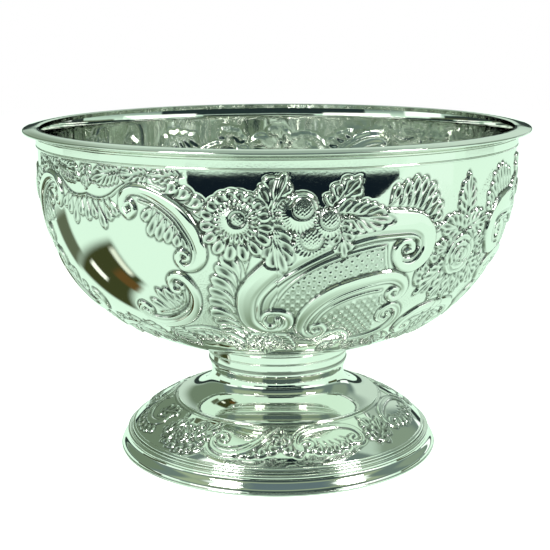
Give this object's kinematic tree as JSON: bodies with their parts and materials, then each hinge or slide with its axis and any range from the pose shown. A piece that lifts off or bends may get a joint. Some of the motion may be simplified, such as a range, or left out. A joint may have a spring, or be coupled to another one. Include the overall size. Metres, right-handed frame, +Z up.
{
  "type": "punch bowl",
  "caption": "Footed silver punch bowl: a deep round bowl with a moulded lip, chased scrolls and flowers, on a waisted stem and a domed foot.",
  "frame": {"origin": "centre of the foot, on the surface the bowl stands on", "axes": "+Z up along the bowl's axis through the middle of its mouth, -Y the front, where the largest flower and the trellis scroll are"},
  "size_m": [0.3, 0.3, 0.1986],
  "materials": {
    "bright_silver": "hand polished silver with fine wiping scratches",
    "chased_silver": "chased silver, bright on the raised work and dark with tarnish in the recesses",
    "silver_solder": "rough hard solder, slightly pitted"
  },
  "bodies": {
    "root": {"bowl_shell": "chased_silver", "rim_lip": "bright_silver", "rim_reed": "bright_silver", "rim_band": "bright_silver", "rim_bead": "bright_silver", "collar_wire": "bright_silver", "bowl_solder_seam": "silver_solder", "stem_sleeve": "bright_silver", "sleeve_wire": "bright_silver", "stem_solder_seam": "silver_solder", "stem_spool": "bright_silver", "foot_dome": "chased_silver", "foot_upper_bead": "bright_silver", "foot_reed": "bright_silver", "foot_lower_bead": "bright_silver", "foot_base_band": "bright_silver", "foot_base_wire": "bright_silver"}
  },
  "joints": []
}
